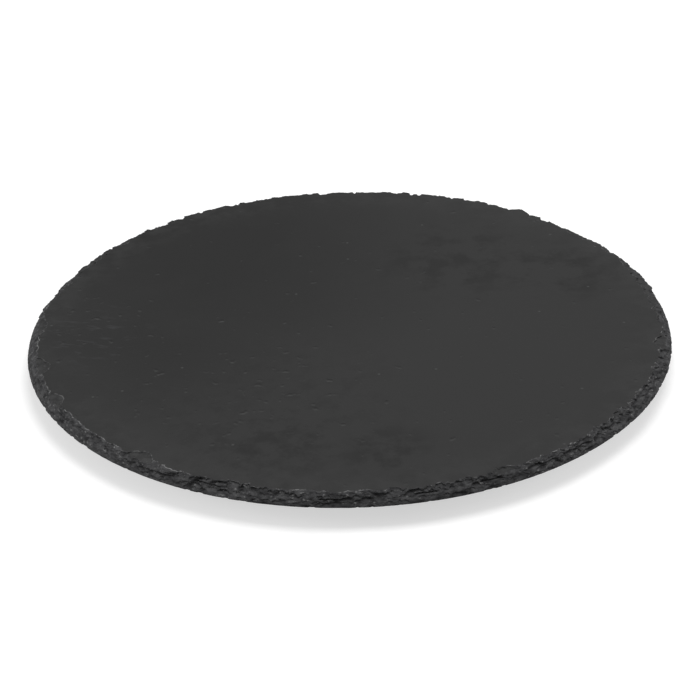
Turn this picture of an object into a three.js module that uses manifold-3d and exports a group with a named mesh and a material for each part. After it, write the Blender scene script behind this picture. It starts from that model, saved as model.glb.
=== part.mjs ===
// Slate lazy susan: a round slate serving board with a knapped rim, bonded to an aluminium
// ball-bearing turntable that stands on rubber feet.
// Millimetres, +Z up. The origin is on the table, under the middle of the board.
import * as THREE from "three";
import { mergeVertices } from "three/addons/utils/BufferGeometryUtils.js";
import Module from "manifold-3d";

const wasm = await Module();
wasm.setup();

// Slate board
const BOARD_DIAMETER = 400;
const BOARD_THICKNESS = 8;
const RIM_SETBACK = 4.2; // how far the top rim lies inside the foot of the edge, before any scar
const EDGE_ROUNDING = 0.4; // share of that lean which comes in only near the rim
const ARRIS_HEIGHT = 1.2; // chamfer worn on the underside's corner
const ARRIS_SETBACK = 0.8;
const SCAR_SHORTEST = 6; // flake scars, measured along the rim
const SCAR_LONGEST = 24;
const SCAR_SHALLOWEST = 0.5; // and their bite into it
const SCAR_DEEPEST = 3.2;
const FACE_SCAR_SHARE = 0.4; // bite of the scars half way down the edge, against those at the rim
const SCAR_SEED = 4217;
const EDGE_ROWS = 5;
const BOARD_SIDES = 288;

// Rubber feet, each stuck in a shallow seat under the base ring
const FOOT_COUNT = 6;
const FOOT_DIAMETER = 8;
const FOOT_STAND = 2.6; // height of the base ring above the table
const FOOT_SINK = 1.4;
const FOOT_ROUND = 0.8; // rounded edge that meets the table
const FOOT_CLEARANCE = 0.3;
const FOOT_MARGIN = 1.05; // flat metal each side of a seat
const FOOT_SIDES = 16;

// Steel balls and their nylon cage
const BALL_DIAMETER = 4.76;
const BALL_COUNT = 24;
const RACE_CLEARANCE = 0.2; // between a ball and each face of its groove
const CAGE_WALL = 1;
const CAGE_CLEARANCE = 0.6; // between the cage and each ring
const CAGE_WEB = 1.2; // nylon above and below each pocket
const POCKET_CLEARANCE = 0.3;
const POCKET_SIDES = 12;

// Aluminium rings: the outer one stands on the table, the inner pair carries the board
const BASE_RING_DIAMETER = 200;
const BASE_LIP = 1.35; // plain wall above and below the base ring's groove
const LOWER_LIP = 0.4; // plain wall below the inner pair's groove
const RACE_RISE = 1; // the inner pair stands this much higher than the base ring
const SPLIT_GAP = 0.3; // between the two halves of the inner pair
const RING_CHAMFER = 0.6;
const RING_SIDES = 64;

// Countersunk screws that clamp the inner pair together
const SCREW_COUNT = 8;
const SCREW_DIAMETER = 3;
const SCREW_FLARE = 1.25; // how far the head stands out past the shank
const SCREW_SINK = 0.3; // depth of the head below the ring's face
const SCREW_CLEARANCE = 0.25;
const SCREW_MARGIN = 1.87; // metal each side of a countersink
const SCREW_COVER = 2.35; // metal above each tapped hole
const SCREW_TIP_GAP = 0.4; // left in the hole beyond the tip
const SOCKET_WIDTH = 2; // hexagon key, across its flats
const SOCKET_DEPTH = 0.9;
const SCREW_SIDES = 12;

// Silicone bond between the inner pair and the board
const BOND_THICKNESS = 0.8;
const BOND_MARGIN = 1.5; // bare metal each side of the bond

const SEAT_GAP = 0.05; // between faces that are stuck together
const OVERCUT = 1; // how far a cutter runs past the face that it cuts

// Each groove is a right-angled V. Its apex lies this far from the balls' centres, and its mouth is
// this far above and below them where it opens into the gap between the rings.
const ballRadius = BALL_DIAMETER / 2;
const ringGap = CAGE_WALL + 2 * CAGE_CLEARANCE;
const grooveReach = (ballRadius + RACE_CLEARANCE) * Math.SQRT2;
const grooveMouth = grooveReach - ringGap / 2;

// Base ring: as wide as the foot seats need
const footSeatRadius = FOOT_DIAMETER / 2 + FOOT_CLEARANCE;
const baseOuter = BASE_RING_DIAMETER / 2;
const baseInner = baseOuter - 2 * (footSeatRadius + FOOT_MARGIN + RING_CHAMFER);
const footCircle = (baseOuter + baseInner) / 2;
const baseHalfHeight = grooveMouth + BASE_LIP + RING_CHAMFER;

// Inner pair: as wide as the countersinks need
const shankRadius = SCREW_DIAMETER / 2;
const headRadius = shankRadius + SCREW_FLARE;
const sinkRadius = headRadius + SCREW_SINK + SCREW_CLEARANCE;
const pitchRadius = baseInner - ringGap / 2;
const raceOuter = pitchRadius - ringGap / 2;
const screwCircle = pitchRadius - grooveReach - SCREW_MARGIN - sinkRadius;
const raceInner = screwCircle - sinkRadius - SCREW_MARGIN;

// Heights, from the plane of the balls' centres
const raceTop = baseHalfHeight + RACE_RISE;
const raceBottom = -(grooveMouth + LOWER_LIP + RING_CHAMFER);
const splitTop = SPLIT_GAP / 2;
const holeTop = raceTop - SCREW_COVER;
const bondBottom = raceTop + SEAT_GAP;
const boardBottom = bondBottom + BOND_THICKNESS + SEAT_GAP;
const ballHeight = FOOT_STAND + baseHalfHeight; // that plane above the table

const slate = new THREE.MeshStandardMaterial({ color: 0x3c3c3d, roughness: 0.7, metalness: 0 });
const aluminium = new THREE.MeshStandardMaterial({ color: 0xc9cbcd, roughness: 0.35, metalness: 1 });
const chromeSteel = new THREE.MeshStandardMaterial({ color: 0xd8d9da, roughness: 0.12, metalness: 1 });
const zincedSteel = new THREE.MeshStandardMaterial({ color: 0xb4b6b8, roughness: 0.3, metalness: 1 });
const nylon = new THREE.MeshStandardMaterial({ color: 0xe6e2d8, roughness: 0.5, metalness: 0 });
const rubber = new THREE.MeshStandardMaterial({ color: 0x1c1c1d, roughness: 0.85, metalness: 0 });
const silicone = new THREE.MeshStandardMaterial({ color: 0x3a3b3c, roughness: 0.55, metalness: 0 });

// A body turned about Z from an outline of [radius, height] corners, listed anticlockwise.
// An outline that doesn't start on the axis is closed back to its first corner.
function turned(corners, sides) {
  const outline = corners.map(([radius, height]) => new THREE.Vector2(radius, height));
  if (outline[0].x > 0) outline.push(outline[0].clone());
  return new THREE.LatheGeometry(outline, sides).rotateX(Math.PI / 2);
}

// A closed geometry as a solid for cutting.
function solidOf(geometry) {
  const bare = geometry.clone();
  bare.deleteAttribute("normal");
  bare.deleteAttribute("uv");
  const { attributes, index } = mergeVertices(bare);
  return new wasm.Manifold(
    new wasm.Mesh({
      numProp: 3,
      vertProperties: attributes.position.array,
      triVerts: new Uint32Array(index.array),
    }),
  );
}

// The body with every cutter taken out of it.
function cut(body, cutters) {
  const left = cutters.reduce((rest, cutter) => rest.subtract(solidOf(cutter)), solidOf(body));
  const { vertProperties, triVerts } = left.getMesh();
  return new THREE.BufferGeometry()
    .setAttribute("position", new THREE.BufferAttribute(vertProperties, 3))
    .setIndex(new THREE.BufferAttribute(triVerts, 1));
}

// The angles of a number of like places round a circle.
function anglesOf(count) {
  return Array.from({ length: count }, (_, i) => (2 * Math.PI * i) / count);
}

// Copies of a cutter, moved out from the axis to places round a circle.
function cuttersRound(cutter, count, radius) {
  return anglesOf(count).map((angle) => cutter.clone().translate(radius, 0, 0).rotateZ(angle));
}

function addPiece(group, name, geometry, material) {
  const piece = new THREE.Mesh(geometry, material);
  piece.name = name;
  group.add(piece);
  return piece;
}

// Numbered pieces at places round a circle, each turned to face outwards.
function addPiecesRound(group, name, geometry, material, count, radius) {
  const digits = String(count).length;
  anglesOf(count).forEach((angle, i) => {
    const number = String(i + 1).padStart(digits, "0");
    const piece = addPiece(group, `${name}_${number}`, geometry, material);
    piece.position.set(radius * Math.cos(angle), radius * Math.sin(angle), 0);
    piece.rotation.z = angle;
  });
}

const lazySusan = new THREE.Group();
const base = new THREE.Group();
const ballTrain = new THREE.Group();
const turntable = new THREE.Group();
ballTrain.position.z = ballHeight;
turntable.position.z = ballHeight;
lazySusan.add(base, ballTrain, turntable);

// Base ring: a plain band with the outer half of the ball groove in its bore and foot seats below
const footSeat = turned(
  [
    [0, -baseHalfHeight - OVERCUT],
    [footSeatRadius, -baseHalfHeight - OVERCUT],
    [footSeatRadius, -baseHalfHeight + FOOT_SINK],
    [0, -baseHalfHeight + FOOT_SINK],
  ],
  FOOT_SIDES,
);
const baseBand = turned(
  [
    [baseInner + RING_CHAMFER, -baseHalfHeight],
    [baseOuter - RING_CHAMFER, -baseHalfHeight],
    [baseOuter, -baseHalfHeight + RING_CHAMFER],
    [baseOuter, baseHalfHeight - RING_CHAMFER],
    [baseOuter - RING_CHAMFER, baseHalfHeight],
    [baseInner + RING_CHAMFER, baseHalfHeight],
    [baseInner, baseHalfHeight - RING_CHAMFER],
    [baseInner, grooveMouth],
    [pitchRadius + grooveReach, 0],
    [baseInner, -grooveMouth],
    [baseInner, -baseHalfHeight + RING_CHAMFER],
  ],
  RING_SIDES,
);
const baseRing = cut(baseBand, cuttersRound(footSeat, FOOT_COUNT, footCircle));
addPiece(base, "base_ring", baseRing, aluminium).position.z = ballHeight;

// Feet: short rubber cylinders, rounded where they meet the table
const footRadius = FOOT_DIAMETER / 2;
const footTop = FOOT_STAND + FOOT_SINK - SEAT_GAP;
const roundInset = FOOT_ROUND * (1 - Math.SQRT1_2);
const foot = turned(
  [
    [0, 0],
    [footRadius - FOOT_ROUND, 0],
    [footRadius - roundInset, roundInset],
    [footRadius, FOOT_ROUND],
    [footRadius, footTop],
    [0, footTop],
  ],
  FOOT_SIDES,
);
addPiecesRound(base, "foot", foot, rubber, FOOT_COUNT, footCircle);

// Ball cage: a thin band in the gap between the rings, with a round pocket through it for each ball
const cageInner = pitchRadius - CAGE_WALL / 2;
const cageOuter = pitchRadius + CAGE_WALL / 2;
const cageHalfHeight = ballRadius + POCKET_CLEARANCE + CAGE_WEB;
const pocketRadius = (ballRadius + POCKET_CLEARANCE) / Math.cos(Math.PI / POCKET_SIDES);
const pocket = new THREE.CylinderGeometry(pocketRadius, pocketRadius, ringGap, POCKET_SIDES);
pocket.rotateZ(Math.PI / 2);
const cageBand = turned(
  [
    [cageInner, -cageHalfHeight],
    [cageOuter, -cageHalfHeight],
    [cageOuter, cageHalfHeight],
    [cageInner, cageHalfHeight],
  ],
  RING_SIDES,
);
addPiece(ballTrain, "ball_cage", cut(cageBand, cuttersRound(pocket, BALL_COUNT, pitchRadius)), nylon);

// Balls
const ball = new THREE.IcosahedronGeometry(ballRadius, 1);
addPiecesRound(ballTrain, "ball", ball, chromeSteel, BALL_COUNT, pitchRadius);

// Inner pair: two halves that share the inner side of the groove, so that the balls can be loaded
const splitRadius = pitchRadius - grooveReach + SPLIT_GAP / 2;
const holeRadius = shankRadius + SCREW_CLEARANCE;
const tappedHole = turned(
  [
    [0, splitTop - OVERCUT],
    [holeRadius, splitTop - OVERCUT],
    [holeRadius, holeTop],
    [0, holeTop],
  ],
  SCREW_SIDES,
);
const upperBand = turned(
  [
    [raceInner, splitTop],
    [splitRadius, splitTop],
    [raceOuter, grooveMouth],
    [raceOuter, raceTop - RING_CHAMFER],
    [raceOuter - RING_CHAMFER, raceTop],
    [raceInner + RING_CHAMFER, raceTop],
    [raceInner, raceTop - RING_CHAMFER],
  ],
  RING_SIDES,
);
const upperRing = cut(upperBand, cuttersRound(tappedHole, SCREW_COUNT, screwCircle));
addPiece(turntable, "upper_race_ring", upperRing, aluminium);

// The countersink is a 90 degree cone, so its radius falls as fast as it rises
const countersink = turned(
  [
    [0, raceBottom - OVERCUT],
    [sinkRadius + OVERCUT, raceBottom - OVERCUT],
    [holeRadius, raceBottom + sinkRadius - holeRadius],
    [holeRadius, splitTop],
    [0, splitTop],
  ],
  SCREW_SIDES,
);
const lowerBand = turned(
  [
    [raceInner + RING_CHAMFER, raceBottom],
    [raceOuter - RING_CHAMFER, raceBottom],
    [raceOuter, raceBottom + RING_CHAMFER],
    [raceOuter, -grooveMouth],
    [splitRadius, -splitTop],
    [raceInner, -splitTop],
    [raceInner, raceBottom + RING_CHAMFER],
  ],
  RING_SIDES,
);
const lowerRing = cut(lowerBand, cuttersRound(countersink, SCREW_COUNT, screwCircle));
addPiece(turntable, "lower_race_ring", lowerRing, aluminium);

// Clamp screws, put in from below, with a hexagon socket in each head
const headFace = raceBottom + SCREW_SINK;
const screwBlank = turned(
  [
    [0, headFace],
    [headRadius, headFace],
    [shankRadius, headFace + SCREW_FLARE],
    [shankRadius, holeTop - SCREW_TIP_GAP],
    [0, holeTop - SCREW_TIP_GAP],
  ],
  SCREW_SIDES,
);
const hexagonSides = 6;
const socketRadius = SOCKET_WIDTH / 2 / Math.cos(Math.PI / hexagonSides);
const socket = turned(
  [
    [0, headFace - OVERCUT],
    [socketRadius, headFace - OVERCUT],
    [socketRadius, headFace + SOCKET_DEPTH],
    [0, headFace + SOCKET_DEPTH],
  ],
  hexagonSides,
);
const screw = cut(screwBlank, [socket]);
addPiecesRound(turntable, "race_screw", screw, zincedSteel, SCREW_COUNT, screwCircle);

// Bond: a flat ring of adhesive on the upper half
const bondInner = raceInner + RING_CHAMFER + BOND_MARGIN;
const bondOuter = raceOuter - RING_CHAMFER - BOND_MARGIN;
const bond = turned(
  [
    [bondInner, bondBottom],
    [bondOuter, bondBottom],
    [bondOuter, bondBottom + BOND_THICKNESS],
    [bondInner, bondBottom + BOND_THICKNESS],
  ],
  RING_SIDES,
);
addPiece(turntable, "bond_ring", bond, silicone);

// Slate board: a disc whose edge leans in from a clean foot, with flake scars knapped out of its rim

// Numbers from 0 to 1 in a fixed order, by the Lehmer generator.
function numbersFrom(seed) {
  const [factor, modulus] = [16807, 2147483647];
  let state = seed;
  return () => {
    state = (state * factor) % modulus;
    return state / modulus;
  };
}

// Flake scars side by side along the rim, from a start until they have gone all the way round.
function flakeScars(seed) {
  const next = numbersFrom(seed);
  const between = (low, high) => low + (high - low) * next();
  const circumference = Math.PI * BOARD_DIAMETER;
  const scars = [];
  for (let end = 0; end < circumference; ) {
    const width = between(SCAR_SHORTEST, SCAR_LONGEST);
    end += width;
    scars.push({ width, end, depth: between(SCAR_SHALLOWEST, SCAR_DEEPEST) });
  }
  return scars;
}

// How deep the scars bite at a share of the way round: most in the middle of a scar, nothing at its ends.
// The last scar passes the start, so they are all drawn in a little to close the circle.
function biteAt(scars, share) {
  const along = share * scars[scars.length - 1].end;
  const { width, end, depth } = scars.find((scar) => along <= scar.end);
  const across = (2 * (end - along)) / width - 1;
  return depth * (1 - across * across);
}

// Rim scars open onto the top and run out at the foot. Face scars hollow the edge half way up.
function knapped(blank) {
  const rimScars = flakeScars(SCAR_SEED);
  const faceScars = flakeScars(SCAR_SEED + 1);
  const place = blank.getAttribute("position");
  for (let i = 0; i < place.count; i++) {
    const [x, y, z] = [place.getX(i), place.getY(i), place.getZ(i)];
    const radius = Math.hypot(x, y);
    const rise = (z - ARRIS_HEIGHT) / (BOARD_THICKNESS - ARRIS_HEIGHT);
    if (radius === 0 || rise <= 0) continue;
    const share = (Math.atan2(y, x) / (2 * Math.PI) + 1) % 1;
    const rimBite = biteAt(rimScars, share) * rise;
    const faceBite = biteAt(faceScars, share) * FACE_SCAR_SHARE * 4 * rise * (1 - rise);
    const scale = (radius - rimBite - faceBite) / radius;
    place.setXYZ(i, x * scale, y * scale, z);
  }
  return blank;
}

const boardRadius = BOARD_DIAMETER / 2;
const edge = Array.from({ length: EDGE_ROWS }, (_, i) => {
  const rise = (i + 1) / EDGE_ROWS;
  const setback = RIM_SETBACK * ((1 - EDGE_ROUNDING) * rise + EDGE_ROUNDING * rise * rise);
  return [boardRadius - setback, ARRIS_HEIGHT + (BOARD_THICKNESS - ARRIS_HEIGHT) * rise];
});
const boardBlank = turned(
  [
    [0, 0],
    [boardRadius - ARRIS_SETBACK, 0],
    [boardRadius, ARRIS_HEIGHT],
    ...edge,
    [0, BOARD_THICKNESS],
  ],
  BOARD_SIDES,
);
addPiece(turntable, "slate_board", knapped(boardBlank), slate).position.z = boardBottom;

export default lazySusan;
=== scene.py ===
import math
import random

import bpy
from mathutils import Matrix, Vector, noise


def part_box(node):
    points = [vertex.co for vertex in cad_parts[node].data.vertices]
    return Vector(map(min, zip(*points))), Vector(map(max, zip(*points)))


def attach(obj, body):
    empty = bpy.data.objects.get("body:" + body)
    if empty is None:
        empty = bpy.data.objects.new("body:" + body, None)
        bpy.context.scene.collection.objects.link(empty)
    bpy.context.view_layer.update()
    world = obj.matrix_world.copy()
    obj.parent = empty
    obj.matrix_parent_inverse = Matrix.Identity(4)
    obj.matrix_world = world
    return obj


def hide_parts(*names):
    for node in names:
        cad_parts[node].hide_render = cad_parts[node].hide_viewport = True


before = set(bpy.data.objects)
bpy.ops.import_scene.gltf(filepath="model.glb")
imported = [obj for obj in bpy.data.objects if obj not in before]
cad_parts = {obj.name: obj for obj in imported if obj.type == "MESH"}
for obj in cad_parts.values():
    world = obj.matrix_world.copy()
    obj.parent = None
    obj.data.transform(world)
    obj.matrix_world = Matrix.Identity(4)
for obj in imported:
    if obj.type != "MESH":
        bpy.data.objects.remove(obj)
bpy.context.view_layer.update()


# Base ring
# The outer ring of the turntable: an aluminium band, turned on a lathe and anodised, with one side of the
# ball groove in its bore. It stands still on the table, and its underside has a shallow seat for each foot.
MM = 0.001
base_low, base_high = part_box("base_ring")
ball_low, ball_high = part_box("ball_01")
ball_middle = (ball_low + ball_high) / 2
ball_circle = ball_middle.x
BALL_RADIUS = 2.38 * MM
RACE_CLEARANCE = 0.2 * MM  # between a ball and each face of its right-angled groove
groove_reach = math.sqrt(2) * (BALL_RADIUS + RACE_CLEARANCE)  # from a ball's centre to the groove's bottom
RING_STEPS = 192
RING_CHAMFER = 0.6 * MM
RING_EDGE = 0.12 * MM  # what deburring leaves on a sharp edge
FOOT_COUNT = 6
SEAT_RADIUS = 4.3 * MM
SEAT_DEPTH = 1.4 * MM
SEAT_MARGIN = 1.05 * MM  # flat metal each side of a seat
base_outer = base_high.x
base_inner = base_outer - 2 * (SEAT_RADIUS + SEAT_MARGIN + RING_CHAMFER)
base_mouth = groove_reach - (base_inner - ball_circle)
foot_circle = (base_outer + base_inner) / 2


def deselect():
    """Leaves nothing selected, so that the next operator acts on the new piece alone."""
    bpy.ops.object.select_all(action="DESELECT")


def turned_ring(name, corners):
    """A ring spun about the axis from the corners of its section, each a radius and a height."""
    deselect()
    bpy.ops.mesh.primitive_circle_add(vertices=len(corners), radius=MM)
    ring = bpy.context.object
    ring.name = name
    for vertex, (radius, height) in zip(ring.data.vertices, corners):
        vertex.co = (radius, 0, height)
    bpy.ops.object.mode_set(mode="EDIT")
    bpy.ops.mesh.select_all(action="SELECT")
    bpy.ops.mesh.spin(
        steps=RING_STEPS,
        angle=math.tau,
        center=(0, 0, 0),
        axis=(0, 0, 1),
        use_auto_merge=True,
    )
    bpy.ops.mesh.select_all(action="SELECT")
    bpy.ops.mesh.remove_doubles(threshold=MM / 1000)
    bpy.ops.mesh.normals_make_consistent(inside=False)
    bpy.ops.object.mode_set(mode="OBJECT")
    return ring


base_ring = turned_ring(
    "turned_base_ring",
    [
        (base_inner + RING_CHAMFER, base_low.z),
        (base_outer - RING_CHAMFER, base_low.z),
        (base_outer, base_low.z + RING_CHAMFER),
        (base_outer, base_high.z - RING_CHAMFER),
        (base_outer - RING_CHAMFER, base_high.z),
        (base_inner + RING_CHAMFER, base_high.z),
        (base_inner, base_high.z - RING_CHAMFER),
        (base_inner, ball_middle.z + base_mouth),
        (ball_circle + groove_reach, ball_middle.z),
        (base_inner, ball_middle.z - base_mouth),
        (base_inner, base_low.z + RING_CHAMFER),
    ],
)


def apply_place(piece):
    """Moves a new primitive's place into its mesh, so that the object itself sits at the origin."""
    deselect()
    piece.select_set(True)
    bpy.context.view_layer.objects.active = piece
    bpy.ops.object.transform_apply(location=True, rotation=True, scale=True)


def copies_round(first, count):
    """The first piece and copies of it, each with its own mesh, at equal steps round the axis."""
    pieces = [first]
    for number in range(1, count):
        piece = first.copy()
        piece.data = first.data.copy()
        piece.data.transform(Matrix.Rotation(math.tau * number / count, 4, "Z"))
        bpy.context.scene.collection.objects.link(piece)
        pieces.append(piece)
    return pieces


def cut(piece, cutters):
    """Takes the cutters out of a piece and throws them away."""
    deselect()
    for cutter in cutters:
        cutter.select_set(True)
    bpy.context.view_layer.objects.active = cutters[0]
    if len(cutters) > 1:
        bpy.ops.object.join()
    cutter = bpy.context.object
    bpy.context.view_layer.objects.active = piece
    boolean = piece.modifiers.new("cut", "BOOLEAN")
    boolean.object = cutter
    boolean.operation = "DIFFERENCE"
    bpy.ops.object.modifier_apply(modifier="cut")
    bpy.data.objects.remove(cutter)


deselect()
bpy.ops.mesh.primitive_cylinder_add(
    vertices=48,
    radius=SEAT_RADIUS,
    depth=2 * SEAT_DEPTH,
    location=(foot_circle, 0, base_low.z),
)
seat = bpy.context.object
apply_place(seat)
cut(base_ring, copies_round(seat, FOOT_COUNT))
SHARP_ANGLE = math.radians(35)  # an edge that turns more than this is rounded
SMOOTH_ANGLE = math.radians(40)  # and one that turns less than this is shaded smooth


def soften(piece, width):
    """Rounds the sharp edges a little and smooths the shading between them."""
    deselect()
    piece.select_set(True)
    bpy.context.view_layer.objects.active = piece
    bevel = piece.modifiers.new("soften", "BEVEL")
    bevel.width = width
    bevel.segments = 2
    bevel.limit_method = "ANGLE"
    bevel.angle_limit = SHARP_ANGLE
    bpy.ops.object.modifier_apply(modifier="soften")
    bpy.ops.object.shade_smooth_by_angle(angle=SMOOTH_ANGLE)


soften(base_ring, RING_EDGE)


def linear(hex_colour):
    """An sRGB hex colour as linear red, green, blue and alpha."""
    shares = [int(hex_colour[i : i + 2], 16) / 255 for i in (1, 3, 5)]
    return [s / 12.92 if s <= 0.04045 else ((s + 0.055) / 1.055) ** 2.4 for s in shares] + [1]


def add_node(tree, kind, inputs, output=0, **settings):
    """Adds a shader node and gives back one output. Each input is a value or the output that feeds it."""
    made = tree.nodes.new(kind)
    for name, value in settings.items():
        setattr(made, name, value)
    for key, value in inputs.items():
        if isinstance(value, bpy.types.NodeSocket):
            tree.links.new(value, made.inputs[key])
        else:
            made.inputs[key].default_value = value
    return made.outputs[output]


def new_material(name):
    """A material with its node tree, its main shader and the piece's own coordinates."""
    material = bpy.data.materials.new(name)
    material.use_nodes = True
    tree = material.node_tree
    place = add_node(tree, "ShaderNodeTexCoord", {}, "Object")
    return material, tree, tree.nodes["Principled BSDF"], place


# Anodised aluminium, turned: a grey satin metal. Fine tool marks run round it and spread its highlights.
# The real marks are about 0.1 mm apart. They are drawn three times as coarse, so that they show.
TOOL_MARK = 0.3 * MM
aluminium, tree, shader, place = new_material("turned_anodised_aluminium")
level = add_node(tree, "ShaderNodeVectorMath", {0: place, 1: (1, 1, 0)}, operation="MULTIPLY")
radius = add_node(tree, "ShaderNodeVectorMath", {0: level}, "Value", operation="LENGTH")
height = add_node(tree, "ShaderNodeSeparateXYZ", {0: place}, "Z")
feed = add_node(tree, "ShaderNodeMath", {0: radius, 1: height}, operation="ADD")
marks = add_node(
    tree,
    "ShaderNodeTexNoise",
    {"W": feed, "Scale": 1 / TOOL_MARK, "Detail": 2},
    noise_dimensions="1D",
)
haze = add_node(tree, "ShaderNodeTexNoise", {"Vector": place, "Scale": 1 / (9 * MM), "Detail": 3})
tone = add_node(
    tree,
    "ShaderNodeMix",
    {0: haze, 6: linear("#96989a"), 7: linear("#a6a8aa")},
    2,
    data_type="RGBA",
)
tree.links.new(tone, shader.inputs["Base Color"])
satin = add_node(tree, "ShaderNodeMapRange", {"Value": marks, "To Min": 0.26, "To Max": 0.46})
tree.links.new(satin, shader.inputs["Roughness"])
turning = add_node(tree, "ShaderNodeBump", {"Strength": 0.25, "Distance": 0.03 * MM, "Height": marks})
tree.links.new(turning, shader.inputs["Normal"])
shader.inputs["Metallic"].default_value = 1


def dress(piece, material, body, node):
    """Gives a finished piece its material, puts it under its body and hides the CAD node that it stands
    for.
    """
    piece.data.materials.clear()
    piece.data.materials.append(material)
    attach(piece, body)
    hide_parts(node)


dress(base_ring, aluminium, "base", "base_ring")


# Feet
# Six moulded rubber buttons, glued into the seats under the base ring. They keep the turntable from sliding
# and hold the metal clear of the table. Each is rounded below, with a shallow dimple that the mould leaves.
foot_low, foot_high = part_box("foot_1")
FOOT_CLEARANCE = 0.3 * MM  # round the foot in its seat
FOOT_ROUND = 0.8 * MM
DIMPLE_RIM = 2.1 * MM
DIMPLE_DEPTH = 0.25 * MM
LEVEL = 0.999  # upright share of a level face's normal


def select_faces(piece, wanted):
    """In edit mode, selects the faces that the test picks."""
    bpy.ops.mesh.select_mode(type="FACE")
    bpy.ops.mesh.select_all(action="DESELECT")
    bpy.ops.object.mode_set(mode="OBJECT")
    for face in piece.data.polygons:
        face.select = wanted(face)
    bpy.ops.object.mode_set(mode="EDIT")


def faces_down(face):
    """True for a level face that looks down."""
    return face.normal.z < -LEVEL


deselect()
bpy.ops.mesh.primitive_cylinder_add(
    vertices=48,
    radius=SEAT_RADIUS - FOOT_CLEARANCE,
    depth=foot_high.z - foot_low.z,
    location=(foot_circle, 0, (foot_high.z + foot_low.z) / 2),
)
foot = bpy.context.object
apply_place(foot)
bpy.ops.object.mode_set(mode="EDIT")
select_faces(foot, faces_down)
bpy.ops.mesh.bevel(offset=FOOT_ROUND, segments=5, affect="EDGES")
select_faces(foot, faces_down)
bpy.ops.mesh.inset(thickness=DIMPLE_RIM)
bpy.ops.mesh.inset(thickness=DIMPLE_DEPTH, depth=-DIMPLE_DEPTH)
bpy.ops.object.mode_set(mode="OBJECT")
bpy.ops.object.shade_smooth_by_angle(angle=SMOOTH_ANGLE)

# Moulded rubber: a dull black with a fine grain from the mould and a faint grey bloom
rubber, tree, shader, place = new_material("moulded_rubber")
grain = add_node(tree, "ShaderNodeTexNoise", {"Vector": place, "Scale": 1 / (0.25 * MM), "Detail": 3})
bloom = add_node(tree, "ShaderNodeTexNoise", {"Vector": place, "Scale": 1 / (3 * MM), "Detail": 2})
tone = add_node(
    tree,
    "ShaderNodeMix",
    {0: bloom, 6: linear("#171718"), 7: linear("#242425")},
    2,
    data_type="RGBA",
)
tree.links.new(tone, shader.inputs["Base Color"])
dull = add_node(tree, "ShaderNodeMapRange", {"Value": grain, "To Min": 0.6, "To Max": 0.8})
tree.links.new(dull, shader.inputs["Roughness"])
mould = add_node(tree, "ShaderNodeBump", {"Strength": 0.3, "Distance": 0.05 * MM, "Height": grain})
tree.links.new(mould, shader.inputs["Normal"])
shader.inputs["Specular IOR Level"].default_value = 0.3
for number, piece in enumerate(copies_round(foot, FOOT_COUNT), 1):
    piece.name = f"rubber_foot_{number}"
    dress(piece, rubber, "base", f"foot_{number}")


# Ball cage
# A thin nylon band, moulded in one piece, that floats in the gap between the rings. A round pocket for each
# ball keeps the balls apart, and the band goes round with them at a little under half the board's speed.
cage_low, cage_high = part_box("ball_cage")
CAGE_WALL = 1 * MM
CAGE_EDGE = 0.18 * MM
BALL_COUNT = 24
POCKET_CLEARANCE = 0.3 * MM
cage_inner = cage_high.x - CAGE_WALL
cage = turned_ring(
    "nylon_ball_cage",
    [
        (cage_inner, cage_low.z),
        (cage_high.x, cage_low.z),
        (cage_high.x, cage_high.z),
        (cage_inner, cage_high.z),
    ],
)
deselect()
bpy.ops.mesh.primitive_cylinder_add(
    vertices=40,
    radius=BALL_RADIUS + POCKET_CLEARANCE,
    depth=3 * CAGE_WALL,
    location=ball_middle,
    rotation=(0, math.pi / 2, 0),
)
pocket = bpy.context.object
apply_place(pocket)
cut(cage, copies_round(pocket, BALL_COUNT))
soften(cage, CAGE_EDGE)

# Natural nylon, moulded: a creamy, slightly waxy white with faint flow clouds
nylon, tree, shader, place = new_material("moulded_nylon")
flow = add_node(tree, "ShaderNodeTexNoise", {"Vector": place, "Scale": 1 / (5 * MM), "Detail": 3})
tone = add_node(
    tree,
    "ShaderNodeMix",
    {0: flow, 6: linear("#ddd8cb"), 7: linear("#ebe7dc")},
    2,
    data_type="RGBA",
)
tree.links.new(tone, shader.inputs["Base Color"])
waxy = add_node(tree, "ShaderNodeMapRange", {"Value": flow, "To Min": 0.38, "To Max": 0.52})
tree.links.new(waxy, shader.inputs["Roughness"])
shader.inputs["IOR"].default_value = 1.53
dress(cage, nylon, "ball_train", "ball_cage")


# Balls
# Hardened steel bearing balls, ground and polished. They lie loose in the cage's pockets, run in the two
# right-angled grooves and carry the whole board.
BALL_CUTS = 9  # across each side of the cube that is blown out to a ball
deselect()
bpy.ops.mesh.primitive_cube_add(size=2 * BALL_RADIUS, location=ball_middle)
ball = bpy.context.object
apply_place(ball)
bpy.ops.object.mode_set(mode="EDIT")
bpy.ops.mesh.select_all(action="SELECT")
bpy.ops.mesh.subdivide(number_cuts=BALL_CUTS)
bpy.ops.object.mode_set(mode="OBJECT")
for vertex in ball.data.vertices:
    vertex.co = ball_middle + BALL_RADIUS * (vertex.co - ball_middle).normalized()
bpy.ops.object.shade_smooth()

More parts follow.
